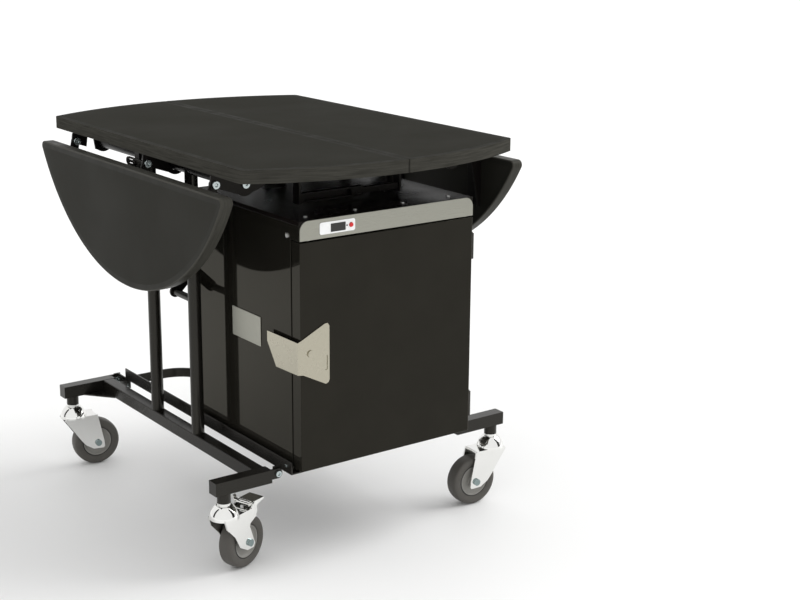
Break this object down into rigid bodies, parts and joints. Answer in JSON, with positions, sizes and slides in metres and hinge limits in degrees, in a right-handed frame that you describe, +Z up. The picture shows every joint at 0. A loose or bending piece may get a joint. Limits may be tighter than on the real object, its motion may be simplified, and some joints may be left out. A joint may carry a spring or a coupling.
{
  "type": "room service table",
  "caption": "Folding room service table with drop leaves on swivel casters, carrying a heated food cabinet with a hinged door between its side frames.",
  "frame": {"origin": "on the floor under the middle of the table top", "axes": "+Z up, +Y along the table's length towards the rear, the cabinet door faces -Y, +X across the table"},
  "size_m": [0.686, 0.914, 0.762],
  "materials": {
    "top_laminate": "black laminate on a particle board core, fine satin grain",
    "moulded_edge": "soft black moulded edge",
    "zinc_hardware": "bright zinc plate",
    "bright_fork": "bright chrome plate",
    "grey_tyre": "grey non-marking rubber",
    "grey_hub": "grey moulded nylon",
    "pedal_steel": "black painted steel",
    "brushed_steel": "brushed stainless steel",
    "insulation": "mineral wool insulation",
    "gasket": "black silicone",
    "control_white": "white glossy overlay",
    "display_dark": "dark glossy window",
    "button_red": "red glossy button",
    "cabinet_gloss_black": "glossy black powder coat",
    "door_satin_black": "satin black powder coat",
    "lever_steel": "black coated steel",
    "frame_black": "semi-gloss black powder coat"
  },
  "bodies": {
    "frame": {"left_top_board": "top_laminate", "left_top_edge": "moulded_edge", "right_top_board": "top_laminate", "right_top_edge": "moulded_edge", "left_top_brackets": "frame_black", "right_top_brackets": "frame_black", "leaf_bolts": "zinc_hardware", "seam_hinges": "zinc_hardware", "seam_stay": "frame_black", "base_rails": "frame_black", "caster_arms": "frame_black", "caster_stems": "frame_black", "uprights": "frame_black", "cross_tubes": "frame_black", "frame_bolts": "zinc_hardware", "fold_links": "frame_black", "link_pins": "frame_black", "link_lugs": "frame_black", "carrier_rails": "frame_black", "rear_bow": "frame_black", "cabinet_body": "cabinet_gloss_black", "cabinet_insulation": "insulation", "cabinet_liner": "brushed_steel", "cabinet_cover": "cabinet_gloss_black", "cabinet_screws": "zinc_hardware", "cabinet_fascia": "brushed_steel", "cabinet_shelves": "brushed_steel", "heater_guard": "brushed_steel", "control_panel": "control_white", "display_window": "display_dark", "side_plate": "brushed_steel", "door_hinges": "frame_black"},
    "left_leaf": {"left_leaf_board": "top_laminate", "left_leaf_edge": "moulded_edge", "left_leaf_straps": "frame_black"},
    "right_leaf": {"right_leaf_board": "top_laminate", "right_leaf_edge": "moulded_edge", "right_leaf_straps": "frame_black"},
    "left_lock": {"left_lock_lever": "lever_steel"},
    "right_lock": {"right_lock_lever": "lever_steel"},
    "door": {"door_panel": "door_satin_black", "door_core": "insulation", "door_gasket": "gasket", "door_handle": "brushed_steel", "door_hinge_leaves": "frame_black"},
    "button": {"power_button": "button_red"},
    "front_left_swivel": {"front_left_fork": "bright_fork"},
    "front_left_wheel": {"front_left_tyre": "grey_tyre", "front_left_hub": "grey_hub"},
    "front_left_brake": {"front_left_pedal": "pedal_steel"},
    "rear_left_swivel": {"rear_left_fork": "bright_fork"},
    "rear_left_wheel": {"rear_left_tyre": "grey_tyre", "rear_left_hub": "grey_hub"},
    "front_right_swivel": {"front_right_fork": "bright_fork"},
    "front_right_wheel": {"front_right_tyre": "grey_tyre", "front_right_hub": "grey_hub"},
    "rear_right_swivel": {"rear_right_fork": "bright_fork"},
    "rear_right_wheel": {"rear_right_tyre": "grey_tyre", "rear_right_hub": "grey_hub"},
    "rear_right_brake": {"rear_right_pedal": "pedal_steel"}
  },
  "joints": [
    {"name": "left_leaf_hinge", "type": "hinge", "parent": "frame", "child": "left_leaf", "pos_m": [-0.295, 0, 0.721], "axis": [0, 1, 0], "range_deg": [0, 90]},
    {"name": "right_leaf_hinge", "type": "hinge", "parent": "frame", "child": "right_leaf", "pos_m": [0.295, 0, 0.721], "axis": [0, -1, 0], "range_deg": [0, 90]},
    {"name": "left_lock_turn", "type": "hinge", "parent": "frame", "child": "left_lock", "pos_m": [-0.298, 0.016, 0.717], "axis": [1, 0, 0], "range_deg": [0, 12], "stiffness_Nm_per_rad": 0.3, "springref_deg": -5.73},
    {"name": "right_lock_turn", "type": "hinge", "parent": "frame", "child": "right_lock", "pos_m": [0.298, 0.016, 0.717], "axis": [1, 0, 0], "range_deg": [0, 12], "stiffness_Nm_per_rad": 0.3, "springref_deg": -5.73},
    {"name": "door_hinge", "type": "hinge", "parent": "frame", "child": "door", "pos_m": [0.2, -0.388, 0.4], "axis": [0, 0, 1], "range_deg": [0, 110]},
    {"name": "power_button_press", "type": "slide", "parent": "frame", "child": "button", "axis": [0, 1, 0], "range_m": [0, 0.0015], "stiffness_N_per_m": 800, "springref_m": -0.0004},
    {"name": "front_left_swivel_turn", "type": "hinge", "parent": "frame", "child": "front_left_swivel", "pos_m": [-0.315, -0.3235, 0.14], "axis": [0, 0, 1], "continuous": true},
    {"name": "front_left_wheel_roll", "type": "hinge", "parent": "front_left_swivel", "child": "front_left_wheel", "pos_m": [-0.27083, -0.30743, 0.0508], "axis": [-0.342, 0.9397, 0], "continuous": true},
    {"name": "front_left_brake_press", "type": "hinge", "parent": "front_left_swivel", "child": "front_left_brake", "pos_m": [-0.25486, -0.30161, 0.116], "axis": [-0.342, 0.9397, 0], "range_deg": [0, 12]},
    {"name": "rear_left_swivel_turn", "type": "hinge", "parent": "frame", "child": "rear_left_swivel", "pos_m": [-0.315, 0.3305, 0.14], "axis": [0, 0, 1], "continuous": true},
    {"name": "rear_left_wheel_roll", "type": "hinge", "parent": "rear_left_swivel", "child": "rear_left_wheel", "pos_m": [-0.26826, 0.32559, 0.0508], "axis": [0.1045, 0.9945, 0], "continuous": true},
    {"name": "front_right_swivel_turn", "type": "hinge", "parent": "frame", "child": "front_right_swivel", "pos_m": [0.315, -0.3235, 0.14], "axis": [0, 0, 1], "continuous": true},
    {"name": "front_right_wheel_roll", "type": "hinge", "parent": "front_right_swivel", "child": "front_right_wheel", "pos_m": [0.26811, -0.32022, 0.0508], "axis": [-0.0698, -0.9976, 0], "continuous": true},
    {"name": "rear_right_swivel_turn", "type": "hinge", "parent": "frame", "child": "rear_right_swivel", "pos_m": [0.315, 0.3305, 0.14], "axis": [0, 0, 1], "continuous": true},
    {"name": "rear_right_wheel_roll", "type": "hinge", "parent": "rear_right_swivel", "child": "rear_right_wheel", "pos_m": [0.26811, 0.32722, 0.0508], "axis": [0.0698, -0.9976, 0], "continuous": true},
    {"name": "rear_right_brake_press", "type": "hinge", "parent": "rear_right_swivel", "child": "rear_right_brake", "pos_m": [0.25116, 0.32604, 0.116], "axis": [0.0698, -0.9976, 0], "range_deg": [0, 12]}
  ]
}
